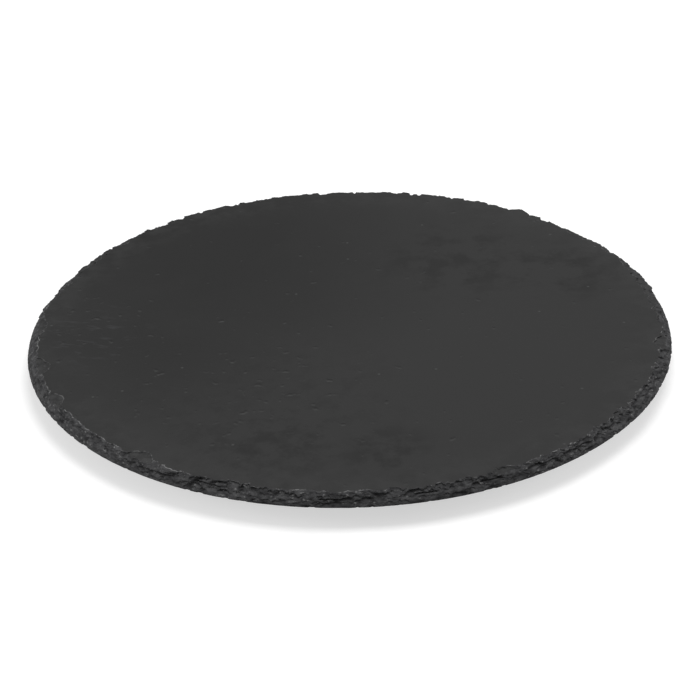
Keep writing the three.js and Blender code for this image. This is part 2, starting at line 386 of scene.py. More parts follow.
# Bearing steel, polished: a bright mirror, dulled a little in patches by grease
ball_steel, tree, shader, place = new_material("polished_bearing_steel")
grease = add_node(tree, "ShaderNodeTexNoise", {"Vector": place, "Scale": 1 / (2 * MM), "Detail": 3})
tone = add_node(
    tree,
    "ShaderNodeMix",
    {0: grease, 6: linear("#cdced0"), 7: linear("#dedfe0")},
    2,
    data_type="RGBA",
)
tree.links.new(tone, shader.inputs["Base Color"])
polish = add_node(tree, "ShaderNodeMapRange", {"Value": grease, "To Min": 0.05, "To Max": 0.18})
tree.links.new(polish, shader.inputs["Roughness"])
shader.inputs["Metallic"].default_value = 1
for number, piece in enumerate(copies_round(ball, BALL_COUNT), 1):
    piece.name = f"steel_ball_{number:02d}"
    dress(piece, ball_steel, "ball_train", f"ball_{number:02d}")


# Inner rings
# Two aluminium rings, turned and anodised like the base ring, that share the inner side of the ball groove.
# They are split so that the balls can be loaded, clamped by screws from below, and carry the board on top.
upper_low, upper_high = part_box("upper_race_ring")
lower_low, lower_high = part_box("lower_race_ring")
SCREW_COUNT = 8
SCREW_MARGIN = 1.87 * MM  # metal each side of a countersink
HOLE_RADIUS = 1.75 * MM
HOLE_COVER = 2.35 * MM  # metal left above each tapped hole
SINK_RADIUS = 3.3 * MM  # of the countersink, where it meets the underside
race_outer = upper_high.x
screw_circle = ball_circle - groove_reach - SCREW_MARGIN - SINK_RADIUS
race_inner = screw_circle - SINK_RADIUS - SCREW_MARGIN
race_mouth = groove_reach - (ball_circle - race_outer)
split_radius = ball_circle - groove_reach + (upper_low.z - ball_middle.z)

upper_ring = turned_ring(
    "turned_upper_ring",
    [
        (race_inner, upper_low.z),
        (split_radius, upper_low.z),
        (race_outer, ball_middle.z + race_mouth),
        (race_outer, upper_high.z - RING_CHAMFER),
        (race_outer - RING_CHAMFER, upper_high.z),
        (race_inner + RING_CHAMFER, upper_high.z),
        (race_inner, upper_high.z - RING_CHAMFER),
    ],
)
hole_top = upper_high.z - HOLE_COVER
deselect()
bpy.ops.mesh.primitive_cylinder_add(
    vertices=32,
    radius=HOLE_RADIUS,
    depth=2 * (hole_top - upper_low.z),
    location=(screw_circle, 0, upper_low.z),
)
hole = bpy.context.object
apply_place(hole)
cut(upper_ring, copies_round(hole, SCREW_COUNT))
soften(upper_ring, RING_EDGE)
dress(upper_ring, aluminium, "turntable", "upper_race_ring")

lower_ring = turned_ring(
    "turned_lower_ring",
    [
        (race_inner + RING_CHAMFER, lower_low.z),
        (race_outer - RING_CHAMFER, lower_low.z),
        (race_outer, lower_low.z + RING_CHAMFER),
        (race_outer, ball_middle.z - race_mouth),
        (split_radius, lower_high.z),
        (race_inner, lower_high.z),
        (race_inner, lower_low.z + RING_CHAMFER),
    ],
)


def faces_up(face):
    """True for a level face that looks up."""
    return face.normal.z > LEVEL


# The countersink is a cone that narrows at a right angle to the hole, which then goes straight through
OVERCUT = 1 * MM  # how far the cutter runs past the underside
sink_depth = SINK_RADIUS - HOLE_RADIUS
deselect()
bpy.ops.mesh.primitive_cone_add(
    vertices=32,
    radius1=SINK_RADIUS + OVERCUT,
    radius2=HOLE_RADIUS,
    depth=sink_depth + OVERCUT,
    location=(screw_circle, 0, lower_low.z + (sink_depth - OVERCUT) / 2),
)
sink = bpy.context.object
apply_place(sink)
bpy.ops.object.mode_set(mode="EDIT")
select_faces(sink, faces_up)
bpy.ops.mesh.extrude_region_move(TRANSFORM_OT_translate={"value": (0, 0, lower_high.z - lower_low.z)})
bpy.ops.object.mode_set(mode="OBJECT")
cut(lower_ring, copies_round(sink, SCREW_COUNT))
soften(lower_ring, RING_EDGE)
dress(lower_ring, aluminium, "turntable", "lower_race_ring")


# Race screws
# Eight countersunk machine screws with a hexagon socket, made of steel, cold-headed and zinc plated. They
# go in from below and clamp the two inner rings together round the balls.
screw_low, screw_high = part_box("race_screw_1")
SCREW_CLEARANCE = 0.25 * MM  # round the shank in its hole
SCREW_EDGE = 0.1 * MM
HEAD_RADIUS = 2.75 * MM
TIP_CHAMFER = 0.3 * MM
SOCKET_WIDTH = 2 * MM  # of the hexagon, across its flats
SOCKET_DEPTH = 0.9 * MM
shank_radius = HOLE_RADIUS - SCREW_CLEARANCE
head_height = HEAD_RADIUS - shank_radius
shank_length = screw_high.z - screw_low.z - head_height
deselect()
bpy.ops.mesh.primitive_cone_add(
    vertices=40,
    radius1=HEAD_RADIUS,
    radius2=shank_radius,
    depth=head_height,
    location=(screw_circle, 0, screw_low.z + head_height / 2),
)
screw = bpy.context.object
apply_place(screw)
bpy.ops.object.mode_set(mode="EDIT")
select_faces(screw, faces_up)
bpy.ops.mesh.extrude_region_move(TRANSFORM_OT_translate={"value": (0, 0, shank_length)})
bpy.ops.mesh.bevel(offset=TIP_CHAMFER, segments=1, affect="EDGES")
bpy.ops.object.mode_set(mode="OBJECT")
deselect()
bpy.ops.mesh.primitive_cylinder_add(
    vertices=6,
    radius=SOCKET_WIDTH / math.sqrt(3),
    depth=2 * SOCKET_DEPTH,
    location=(screw_circle, 0, screw_low.z),
)
socket = bpy.context.object
apply_place(socket)
cut(screw, [socket])
soften(screw, SCREW_EDGE)

# Zinc-plated steel: a cool grey metal, half bright, clouded by its passivated coat
zinced_steel, tree, shader, place = new_material("zinc_plated_steel")
spangle = add_node(tree, "ShaderNodeTexNoise", {"Vector": place, "Scale": 1 / (0.8 * MM), "Detail": 3})
tone = add_node(
    tree,
    "ShaderNodeMix",
    {0: spangle, 6: linear("#a6a9ad"), 7: linear("#c0c3c6")},
    2,
    data_type="RGBA",
)
tree.links.new(tone, shader.inputs["Base Color"])
cloud = add_node(tree, "ShaderNodeMapRange", {"Value": spangle, "To Min": 0.22, "To Max": 0.42})
tree.links.new(cloud, shader.inputs["Roughness"])
shader.inputs["Metallic"].default_value = 1
for number, piece in enumerate(copies_round(screw, SCREW_COUNT), 1):
    piece.name = f"socket_screw_{number}"
    dress(piece, zinced_steel, "turntable", f"race_screw_{number}")


# Bond
# A bead of silicone adhesive, squeezed flat between the upper ring and the slate when the board was set
# down, so that its two edges bulge and wander. It is all that holds the board.
bond_low, bond_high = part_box("bond_ring")
BOND_MARGIN = 1.5 * MM  # bare metal inside and outside the bond
BULGE = 0.35 * MM
SHOULDER = 0.8 * BULGE  # of the bulge, half way to its foot
WANDER = 0.5 * MM
WANDER_SCALE = 9  # waves of the wandering in one radian
WANDER_INWARD = 0.7  # keeps the wandering edges inside the bond's space
EDGES_APART = 5  # in the noise, so that each edge takes a course of its own
bond_inner = race_inner + RING_CHAMFER + BOND_MARGIN
bond_middle = (bond_low.z + bond_high.z) / 2
bond = turned_ring(
    "silicone_bond",
    [
        (bond_inner, bond_low.z),
        (bond_high.x - BULGE, bond_low.z),
        (bond_high.x - BULGE + SHOULDER, bond_low.z + BULGE / 2),
        (bond_high.x, bond_middle),
        (bond_high.x - BULGE + SHOULDER, bond_high.z - BULGE / 2),
        (bond_high.x - BULGE, bond_high.z),
        (bond_inner, bond_high.z),
        (bond_inner - SHOULDER, bond_high.z - BULGE / 2),
        (bond_inner - BULGE, bond_middle),
        (bond_inner - SHOULDER, bond_low.z + BULGE / 2),
    ],
)
for vertex in bond.data.vertices:
    direction = vertex.co.xy.to_3d().normalized()
    outward = 1 if vertex.co.xy.length > (bond_inner + bond_high.x) / 2 else -1
    course = noise.noise(direction * WANDER_SCALE + Vector((0, 0, EDGES_APART * outward)))
    vertex.co += outward * WANDER * (course - WANDER_INWARD) * direction
bpy.ops.object.shade_smooth_by_angle(angle=math.radians(50))

# Cured silicone: a dark grey rubber with a soft sheen and a slight ripple where it was squeezed
silicone, tree, shader, place = new_material("cured_silicone")
ripple = add_node(tree, "ShaderNodeTexNoise", {"Vector": place, "Scale": 1 / (1.2 * MM), "Detail": 2})
tone = add_node(
    tree,
    "ShaderNodeMix",
    {0: ripple, 6: linear("#343536"), 7: linear("#404142")},
    2,
    data_type="RGBA",
)
tree.links.new(tone, shader.inputs["Base Color"])
sheen = add_node(tree, "ShaderNodeMapRange", {"Value": ripple, "To Min": 0.35, "To Max": 0.5})
tree.links.new(sheen, shader.inputs["Roughness"])
squeeze = add_node(tree, "ShaderNodeBump", {"Strength": 0.3, "Distance": 0.1 * MM, "Height": ripple})
tree.links.new(squeeze, shader.inputs["Normal"])
shader.inputs["IOR"].default_value = 1.41
dress(bond, silicone, "turntable", "bond_ring")


# Slate board
# A disc of natural slate, split along its cleavage and knapped round from above. The top is the flat split
# face. The edge has broken in thin ledges and shell-shaped flake scars, and runs out to a clean foot.
board_low, board_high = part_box("slate_board")
board_radius = board_high.x
board_thickness = board_high.z - board_low.z
EDGE_SIDES = 3000
EDGE_ROWS = 27
row_height = board_thickness / EDGE_ROWS


def smooth_step(low, high, value):
    """0 below the low value, 1 above the high one, and a soft curve from one to the other."""
    share = min(1, max(0, (value - low) / (high - low)))
    return share * share * (3 - 2 * share)


def off_middle(direction, middle, half_length):
    """Where a direction lies on a stretch of the rim, in degrees: 0 at its middle, 1 or -1 at its ends."""
    turn = math.degrees(math.atan2(direction.y, direction.x))
    return ((turn - middle + 180) % 360 - 180) / half_length


# The edge is upright at its foot and leans in towards the rim. It is hand work, so the rim's setback from
# the foot is uneven. It is given in mm at every 15 degrees from the right.
RIM_SETBACKS = (
    *(5.4, 2.0, 2.6, 5.0, 3.2, 4.0, 4.2, 4.0, 3.4, 2.6, 4.2, 3.6),
    *(6.5, 6.3, 5.6, 4.8, 4.2, 4.2, 4.2, 4.2, 4.2, 4.5, 4.8, 5.1),
)
EDGE_ROUNDING = 1.5  # power of the curve by which it leans in
# One corner was left standing between two blows: its middle and half length in degrees, and mm outwards
CORNER = (53, 10.5, 4.4)


def lean(side, direction):
    """How far the rim lies inside the foot on one side of the mesh, before any scar."""
    turn = side / EDGE_SIDES * len(RIM_SETBACKS)
    before = RIM_SETBACKS[int(turn)]
    after = RIM_SETBACKS[(int(turn) + 1) % len(RIM_SETBACKS)]
    middle, half_length, stand = CORNER
    corner = stand * max(0, 1 - abs(off_middle(direction, middle, half_length)))
    return MM * (before + (after - before) * smooth_step(0, 1, turn % 1) - corner)


# Flake scars in five sizes: how many, then least and most of half their width, foot, height and depth in mm
SCARS = [
    (50, (7, 17), (0, 0), (6, 10), (0.8, 2.6)),
    (150, (3.5, 9), (0, 4), (2.2, 5.4), (0.6, 1.8)),
    (1300, (1.2, 3.4), (0.5, 6.7), (0.8, 2.2), (0.3, 1.1)),
    (140, (2, 6), (4.5, 6.2), (4, 7), (1, 3)),
    (200, (0.8, 2.2), (6, 7), (3, 5), (0.8, 2.6)),
]
SCAR_WALL = 0.2  # share of a scar that its steep wall takes up
SCAR_RUNOUT = 1.4  # how fast a scar deepens upwards from its foot
SCAR_SEED = 4217
dice = random.Random(SCAR_SEED)


def strike(count, half_width, foot, height, depth):
    """Flake scars at random round the edge, listed for each side of the mesh that they reach."""
    reached = [[] for side in range(EDGE_SIDES)]
    side_width = math.tau * board_radius / EDGE_SIDES
    for number in range(count):
        middle = dice.uniform(0, EDGE_SIDES)
        reach = dice.uniform(*half_width) * MM / side_width
        scar = [dice.uniform(*size) * MM for size in (foot, height, depth)]
        for side in range(math.ceil(middle - reach), math.floor(middle + reach) + 1):
            reached[side % EDGE_SIDES].append(((side - middle) / reach, *scar))
    return reached


def bite(scars, height):
    """How deep the deepest scar is at a height: steep under its arched top, running out downwards."""
    deepest = 0
    for across, foot, tall, depth in scars:
        up = (height - foot) / tall
        if up > 0:
            wall = smooth_step(0, SCAR_WALL, 1 - math.hypot(across, up))
            deepest = max(deepest, depth * wall * min(1, SCAR_RUNOUT * up))
    return deepest


# Thin cracks follow the rim at two levels, each with its depth below the top and a seed for its course
CRACKS = [(1.5 * MM, 2.3), (3.2 * MM, 7.9)]
CRACK_DEPTH = 2 * MM
CRACK_HALF_WIDTH = 0.45 * MM
CRACK_LENGTH = 16 * MM
CRACK_SWAY = 0.5 * MM  # how far a crack wanders up and down
CRACK_SWAYS = 1.3  # number of those in a crack's length
CRACK_OPENS = (0.1, 0.3)  # levels of the noise at which a crack begins and is full
SEED_STEP = 20  # from the noise that sways a crack to the noise that opens it


def crack(place, below_top, seed):
    """A thin slot that follows the rim for a while: 1 in its middle."""
    along = place.xy.to_3d() / CRACK_LENGTH
    sway = CRACK_SWAY * noise.noise(along * CRACK_SWAYS + Vector((0, 0, seed)))
    opened = smooth_step(*CRACK_OPENS, noise.noise(along + Vector((0, 0, seed + SEED_STEP))))
    off_level = place.z - (board_thickness - below_top + sway)
    return opened * max(0, 1 - (off_level / CRACK_HALF_WIDTH) ** 2)


# The top leaf has spalled back from the rim in places. The larger spalls are given by their middle and half
# length in degrees from the right, and by how far they reach in, in mm. The small ones come by chance.
SKIN = 0.9 * MM  # thickness of the leaf
SPALLS = [(12, 14, 4), (34, 9, 3), (152, 17, 3), (193, 3, 5)]
RAG_LENGTH = 7 * MM
RAG_SHARE = 0.3  # of a larger spall's reach that is ragged
CHANCE_LENGTH = 24 * MM
CHANCE_REACH = 18 * MM
CHANCE_LIMIT = 0.28  # level of the noise at which a small spall begins


def spall(direction):
    """How far the skin has come away from the rim, in crescents along it."""
    rim = direction * board_radius
    gone = CHANCE_REACH * max(0, noise.noise(rim / CHANCE_LENGTH) - CHANCE_LIMIT)
    for middle, half_length, reach in SPALLS:
        across = off_middle(direction, middle, half_length)
        if abs(across) < 1:
            ragged = 1 + RAG_SHARE * noise.noise(rim / RAG_LENGTH)
            gone = max(gone, reach * MM * ragged * math.sqrt(1 - across * across))
    return gone


# The whole break is ledged along the cleavage and gritty, most of all near the rim. On one stretch, given
# by its middle and half length in degrees, the stone broke more evenly, with shallower scars and cracks.
LEDGE_LENGTH = 6 * MM
LEDGE_HEIGHT = 1.5 * MM
LEDGE_DEPTH = 0.8 * MM
LEDGE_OCTAVES = (0.6, 2.0, 3)  # falloff, step and number of the noise's octaves
GRIT_SIZE = 1.2 * MM
GRIT_DEPTH = 0.25 * MM
GRIT_OCTAVES = (0.4, 2.0, 2)
ROUGH_AT_FOOT = 0.15  # share of the roughness that is left at the foot
EVEN_BREAK = (202, 36)
EVEN_SHARE = 0.6  # share of their depth that is missing there
EVEN_TAPER = 0.5  # share of the half length in which the change is made
FOOT_HEIGHT = 1 * MM  # of the edge's own foot, which is worn and chipped
FOOT_WEAR = 0.7 * MM
CHIP_SIZE = 4 * MM
CHIP_DEPTH = 0.5 * MM
CHIP_OPENS = (0.2, 0.4)  # levels of the noise at which a chip begins and is full


def edge_setback(side, direction, height):
    """How far the broken edge lies inside the full circle at a height above the underside."""
    place = direction * board_radius + Vector((0, 0, height))
    rise = min(1, max(0, (height - FOOT_HEIGHT) / (board_thickness - FOOT_HEIGHT)))
    even = smooth_step(0, EVEN_TAPER, 1 - abs(off_middle(direction, *EVEN_BREAK)))
    bites = sum(bite(scars[side], height) for scars in scar_sets)
    cracks = CRACK_DEPTH * max(crack(place, below_top, seed) for below_top, seed in CRACKS)
    setback = lean(side, direction) * rise**EDGE_ROUNDING + (1 - EVEN_SHARE * even) * (bites + cracks)
    if height > board_thickness - SKIN:
        setback += spall(direction)
    ledge = Vector((place.x / LEDGE_LENGTH, place.y / LEDGE_LENGTH, height / LEDGE_HEIGHT))
    rough = LEDGE_DEPTH * noise.fractal(ledge, *LEDGE_OCTAVES)
    rough += GRIT_DEPTH * noise.fractal(place / GRIT_SIZE, *GRIT_OCTAVES)
    setback += rough * (ROUGH_AT_FOOT + (1 - ROUGH_AT_FOOT) * rise)
    if height < FOOT_HEIGHT:
        setback += FOOT_WEAR * (1 - height / FOOT_HEIGHT) ** 2
        setback += CHIP_DEPTH * smooth_step(*CHIP_OPENS, noise.noise(place / CHIP_SIZE))
    return max(0, setback)


def is_flat(face):
    """True for the flat faces of the board, the only ones with more than four corners."""
    return len(face.vertices) > 4


scar_sets = [strike(*kind) for kind in SCARS]
CRUSH = 0.5 * MM  # width of the crumbled line along the rim
CRUMB_SIZE = 1.1 * MM
CRUMB_DROP = 0.12 * MM  # how far that line lies below the top
CRUMB_RELIEF = 0.1 * MM
BARE_REACH = 0.6 * MM  # a spall that reaches this far has bared a clean ledge
LEDGE_CLEAN = 0.8  # share of the break's look that such a ledge lacks
# The pale crumbs are partly real crushed stone and partly the painted highlight along the rim
LEDGE_CRUMBS_AND_HIGHLIGHT = 0.3  # share of the crumbs that lie on it
RIM_CLEAN = 0.4  # share of the break's look that the rim behind it lacks
BREAK_ANGLE = math.radians(22)  # facets of the break that meet at more than this stay sharp
deselect()
bpy.ops.mesh.primitive_circle_add(
    vertices=EDGE_SIDES,
    radius=board_radius,
    fill_type="NGON",
    location=(0, 0, board_low.z),
)
board = bpy.context.object
board.name = "knapped_slate_board"
apply_place(board)
bpy.ops.object.mode_set(mode="EDIT")
bpy.ops.mesh.select_all(action="SELECT")
for row in range(EDGE_ROWS):
    bpy.ops.mesh.extrude_region_move(TRANSFORM_OT_translate={"value": (0, 0, row_height)})
select_faces(board, is_flat)
bpy.ops.mesh.inset(thickness=CRUSH)
bpy.ops.object.mode_set(mode="OBJECT")
mesh = board.data
# Each point says how much of the break's look it has, and how much of the pale crumbs, which also paint the
# highlight along the rim
broken = mesh.attributes.new("broken", "FLOAT", "POINT")
bruised_and_highlit = mesh.attributes.new("bruised_and_highlit", "FLOAT", "POINT")
for vertex in mesh.vertices:
    direction = vertex.co.xy.to_3d().normalized()
    side = round(math.atan2(direction.y, direction.x) / math.tau * EDGE_SIDES) % EDGE_SIDES
    inside = vertex.co.xy.length < board_radius - CRUSH / 2
    height = vertex.co.z - board_low.z
    out = direction * (board_radius - edge_setback(side, direction, height) - (CRUSH if inside else 0))
    vertex.co.x = out.x
    vertex.co.y = out.y
    if not inside:
        broken.data[vertex.index].value = 1
        bare = smooth_step(0, BARE_REACH, spall(direction))
        if height > board_thickness - SKIN - row_height:
            broken.data[vertex.index].value = 1 - LEDGE_CLEAN * bare
            bruised_and_highlit.data[vertex.index].value = LEDGE_CRUMBS_AND_HIGHLIGHT * bare
        # the top row gets the full pale crumbs, which also paint the rim's highlight
        if height > board_thickness - row_height / 2:
            broken.data[vertex.index].value = 1 - RIM_CLEAN * bare
            bruised_and_highlit.data[vertex.index].value = 1
            vertex.co.z -= CRUMB_DROP + CRUMB_RELIEF * noise.noise(out / CRUMB_SIZE)
bpy.ops.object.shade_smooth_by_angle(angle=BREAK_ANGLE)
for face in mesh.polygons:
    if is_flat(face):
        face.use_smooth = False

# Natural slate: a soft matt grey, darker in clouds and blotches, with small pits that carry painted shade
# and painted highlight, and a rough, speckled break whose pale dust and rim crumbs also paint its glints
# and the rim's highlight. The markings gather about where the real face has them. The grain of the break is
# really a few tenths of a millimetre. It is drawn at 1 to 2 mm, so that it shows.
slate, tree, shader, place = new_material("natural_slate")


def near_spot(x, y, inner, outer):
    """1 within the inner radius of a spot on the top, falling to 0 at the outer one, all in millimetres."""
    spot = (x * MM, y * MM, board_high.z)
    gap = add_node(tree, "ShaderNodeVectorMath", {0: place, 1: spot}, "Value", operation="DISTANCE")
    ends = {"From Min": inner * MM, "From Max": outer * MM, "To Min": 1, "To Max": 0}
    return add_node(tree, "ShaderNodeMapRange", {"Value": gap, **ends}, interpolation_type="SMOOTHSTEP")


# The face is darker in a broad cloud at one side
clouds = add_node(tree, "ShaderNodeTexNoise", {"Vector": place, "Scale": 1 / (80 * MM), "Detail": 4})
clouds = add_node(
    tree,
    "ShaderNodeMapRange",
    {"Value": clouds, "From Min": 0.3, "From Max": 0.7, "To Min": 1.2, "To Max": 0.8},
)
NEAR_CLOUD = 0.75  # strength of the cloud's near part against its far one
near_cloud = near_spot(x=-120, y=-5, inner=10, outer=150)
far_cloud = near_spot(x=-95, y=95, inner=30, outer=200)
shade = add_node(tree, "ShaderNodeMath", {0: near_cloud, 1: NEAR_CLOUD}, operation="MULTIPLY")
shade = add_node(tree, "ShaderNodeMath", {0: shade, 1: far_cloud}, operation="MAXIMUM")
shade = add_node(tree, "ShaderNodeMath", {0: clouds, 1: shade}, operation="MULTIPLY")
face_colour = add_node(
    tree,
    "ShaderNodeMix",
    {0: shade, 6: linear("#383838"), 7: linear("#2f2f2f")},
    2,
    data_type="RGBA",
)
# Dark blotches gather in a few places, each given by x, y and its inner and outer radius
blotched = near_spot(x=65, y=85, inner=25, outer=75)
for spot in ((135, 65, 20, 55), (20, -155, 10, 40), (-45, -150, 15, 55)):
    blotched = add_node(tree, "ShaderNodeMath", {0: blotched, 1: near_spot(*spot)}, operation="MAXIMUM")
blotch = add_node(
    tree,
    "ShaderNodeTexNoise",
    {"Vector": place, "Scale": 1 / (24 * MM), "Detail": 4, "Roughness": 0.65},
)
blotch = add_node(tree, "ShaderNodeMapRange", {"Value": blotch, "From Min": 0.47, "From Max": 0.62})
blotch = add_node(tree, "ShaderNodeMath", {0: blotch, 1: blotched}, operation="MULTIPLY")
face_colour = add_node(
    tree,
    "ShaderNodeMix",
    {0: blotch, 6: face_colour, 7: linear("#313131")},
    2,
    data_type="RGBA",
)
# Fainter, finer mottling in front of the middle
mottled = near_spot(x=-60, y=-95, inner=40, outer=120)
mottle = add_node(
    tree,
    "ShaderNodeTexNoise",
    {"Vector": place, "Scale": 1 / (12 * MM), "Detail": 4, "Roughness": 0.65},
)
mottle = add_node(
    tree,
    "ShaderNodeMapRange",
    {"Value": mottle, "From Min": 0.48, "From Max": 0.64, "To Max": 0.5},
)
mottle = add_node(tree, "ShaderNodeMath", {0: mottle, 1: mottled}, operation="MULTIPLY")
face_colour = add_node(
    tree,
    "ShaderNodeMix",
    {0: mottle, 6: face_colour, 7: linear("#313131")},
    2,
    data_type="RGBA",
)
# A paler, patchy margin along the rim
MARGIN_WIDTH = 40 * MM
MARGIN_FULL = 6 * MM  # from the rim, where the margin is palest
level = add_node(tree, "ShaderNodeVectorMath", {0: place, 1: (1, 1, 0)}, operation="MULTIPLY")
radius = add_node(tree, "ShaderNodeVectorMath", {0: level}, "Value", operation="LENGTH")
margin = add_node(
    tree,
    "ShaderNodeMapRange",
    {
        "Value": radius,
        "From Min": board_radius - MARGIN_WIDTH,
        "From Max": board_radius - MARGIN_FULL,
        "To Max": 0.45,
    },
    interpolation_type="SMOOTHSTEP",
)
patches = add_node(
    tree,
    "ShaderNodeTexNoise",
    {"Vector": place, "Scale": 1 / (14 * MM), "Detail": 4, "Roughness": 0.6},
)
patches = add_node(tree, "ShaderNodeMapRange", {"Value": patches, "From Min": 0.42, "From Max": 0.62})
margin = add_node(tree, "ShaderNodeMath", {0: patches, 1: margin}, operation="MULTIPLY")
face_colour = add_node(
    tree,
    "ShaderNodeMix",
    {0: margin, 6: face_colour, 7: linear("#404040")},
    2,
    data_type="RGBA",
)
# Short scratches run along the grain at one side of the board
GRAIN = math.radians(-16)
STRETCH = 3  # a scratch's length over its width
scratched = near_spot(x=-170, y=-8, inner=10, outer=60)
along = add_node(
    tree,
    "ShaderNodeMapping",
    {"Vector": place, "Rotation": (0, 0, GRAIN), "Scale": (STRETCH, 1, 1)},
    vector_type="TEXTURE",
)
scratches = add_node(
    tree,
    "ShaderNodeTexNoise",
    {"Vector": along, "Scale": 1 / (4 * MM), "Detail": 2, "Distortion": 0.1},
)
scratches = add_node(tree, "ShaderNodeMapRange", {"Value": scratches, "From Min": 0.58, "From Max": 0.74})
scratches = add_node(tree, "ShaderNodeMath", {0: scratches, 1: scratched}, operation="MULTIPLY")
face_colour = add_node(
    tree,
    "ShaderNodeMix",
    {0: scratches, 6: face_colour, 7: linear("#3f3f40")},
    2,
    data_type="RGBA",
)
# Pale round specks lie here and there, in a small share of the cells of a random grid
SPECK_CELL = 17 * MM
SPECK_RADIUS = 1.3 * MM
SPECK_SHARE = 0.035  # of the cells
grid = {"Vector": place, "Scale": 1 / SPECK_CELL}
gap = add_node(tree, "ShaderNodeTexVoronoi", grid, "Distance", voronoi_dimensions="2D")
chance = add_node(tree, "ShaderNodeTexVoronoi", grid, "Color", voronoi_dimensions="2D")
chance = add_node(tree, "ShaderNodeSeparateColor", {0: chance})
specks = add_node(
    tree,
    "ShaderNodeMapRange",
    {"Value": gap, "From Max": SPECK_RADIUS / SPECK_CELL, "To Min": 1, "To Max": 0},
    interpolation_type="SMOOTHSTEP",
)
picked = add_node(tree, "ShaderNodeMath", {0: chance, 1: SPECK_SHARE}, operation="LESS_THAN")
specks = add_node(tree, "ShaderNodeMath", {0: specks, 1: picked}, operation="MULTIPLY")
face_colour = add_node(
    tree,
    "ShaderNodeMix",
    {0: specks, 6: face_colour, 7: linear("#4b4b4b")},
    2,
    data_type="RGBA",
)
# Shallow pits, with painted shade on each pit's far side and a painted highlight on its near lip, taken
# from two copies of the pit pattern a little apart. They gather in front of the middle and at one end.
PIT_SIZE = 6 * MM
MORE_PITS = 0.085  # what such a place adds to the noise that makes the pits
# how far apart the painted shade and the painted highlight of each pit lie
PAINTED_LIGHT_SHIFT = 1.6 * MM
front_pits = near_spot(x=-60, y=-70, inner=20, outer=120)
end_pits = near_spot(x=-165, y=10, inner=10, outer=70)
pitted = add_node(tree, "ShaderNodeMath", {0: front_pits, 1: end_pits}, operation="MAXIMUM")


def pits(offset):
    """Where the top is pitted, from 0 to 1, looked up a little way off."""
    spread = add_node(
        tree,
        "ShaderNodeMapping",
        {"Vector": place, "Location": (0, offset, 0), "Scale": (0.7, 1, 0)},
    )
    hollows = add_node(
        tree,
        "ShaderNodeTexNoise",
        {"Vector": spread, "Scale": 1 / PIT_SIZE, "Detail": 2},
        noise_dimensions="2D",
    )
    more = {0: pitted, 1: MORE_PITS, 2: hollows}
    hollows = add_node(tree, "ShaderNodeMath", more, operation="MULTIPLY_ADD")
    return add_node(tree, "ShaderNodeMapRange", {"Value": hollows, "From Min": 0.75, "From Max": 0.9})


pit = pits(0)
shifted_pit = pits(PAINTED_LIGHT_SHIFT)
# Painted shade lies where the pit is and its shifted copy is not, and painted highlight the other way round
painted_pit_shade = add_node(tree, "ShaderNodeMath", {0: pit, 1: shifted_pit}, operation="SUBTRACT", use_clamp=True)
painted_pit_highlight = add_node(tree, "ShaderNodeMath", {0: shifted_pit, 1: pit}, operation="SUBTRACT", use_clamp=True)
# painted shade on the far side of each pit
face_colour = add_node(
    tree,
    "ShaderNodeMix",
    {0: painted_pit_shade, 6: face_colour, 7: linear("#2d2d2d")},
    2,
    data_type="RGBA",
)
# painted highlight on the near lip of each pit
face_colour = add_node(
    tree,
    "ShaderNodeMix",
    {0: painted_pit_highlight, 6: face_colour, 7: linear("#454545")},
    2,
    data_type="RGBA",
)
# The break is speckled along the cleavage, with pale dust in the crushed grains, which also stands in for
# the glints off its flakes as painted highlight
strata = add_node(tree, "ShaderNodeMapping", {"Vector": place, "Scale": (0.45, 0.45, 1)})
lumps = add_node(
    tree,
    "ShaderNodeTexNoise",
    {"Vector": strata, "Scale": 1 / (2.2 * MM), "Detail": 4, "Roughness": 0.6},
)
lumps = add_node(tree, "ShaderNodeMapRange", {"Value": lumps, "From Min": 0.3, "From Max": 0.7})
break_colour = add_node(
    tree,
    "ShaderNodeMix",
    {0: lumps, 6: linear("#262627"), 7: linear("#565657")},
    2,
    data_type="RGBA",
)
dust_and_glints = add_node(
    tree,
    "ShaderNodeTexNoise",
    {"Vector": strata, "Scale": 1 / (1.4 * MM), "Detail": 4, "Roughness": 0.7},
)
dust_and_glints = add_node(
    tree,
    "ShaderNodeMapRange",
    {"Value": dust_and_glints, "From Min": 0.585, "From Max": 0.725, "To Max": 0.75},
)
# pale dust, partly painted glints off the flakes
break_colour = add_node(
    tree,
    "ShaderNodeMix",
    {0: dust_and_glints, 6: break_colour, 7: linear("#8e8e8e")},
    2,
    data_type="RGBA",
)
# Pale crumbs lie along the bruised rim, most of all at one side. They are partly real crushed stone and
# partly a painted highlight along the rim's arris.
MORE_CRUMBS_AND_HIGHLIGHT = 0.05  # what that side adds to the noise that makes the crumbs
crumbling_and_highlit = near_spot(x=-170, y=-100, inner=90, outer=145)
crumbs_and_highlight = add_node(
    tree,
    "ShaderNodeTexNoise",
    {"Vector": place, "Scale": 1 / (7 * MM), "Detail": 4, "Roughness": 0.7},
)
more = {0: crumbling_and_highlit, 1: MORE_CRUMBS_AND_HIGHLIGHT, 2: crumbs_and_highlight}
crumbs_and_highlight = add_node(tree, "ShaderNodeMath", more, operation="MULTIPLY_ADD")
crumbs_and_highlight = add_node(tree, "ShaderNodeMapRange", {"Value": crumbs_and_highlight, "From Min": 0.5, "From Max": 0.62})
bruise_and_highlight = add_node(tree, "ShaderNodeAttribute", {}, "Fac", attribute_name="bruised_and_highlit")
crumbs_and_highlight = add_node(tree, "ShaderNodeMath", {0: bruise_and_highlight, 1: crumbs_and_highlight}, operation="MULTIPLY")
break_colour = add_node(
    tree,
    "ShaderNodeMix",
    {0: crumbs_and_highlight, 6: break_colour, 7: linear("#868686")},
    2,
    data_type="RGBA",
)
break_share = add_node(tree, "ShaderNodeAttribute", {}, "Fac", attribute_name="broken")
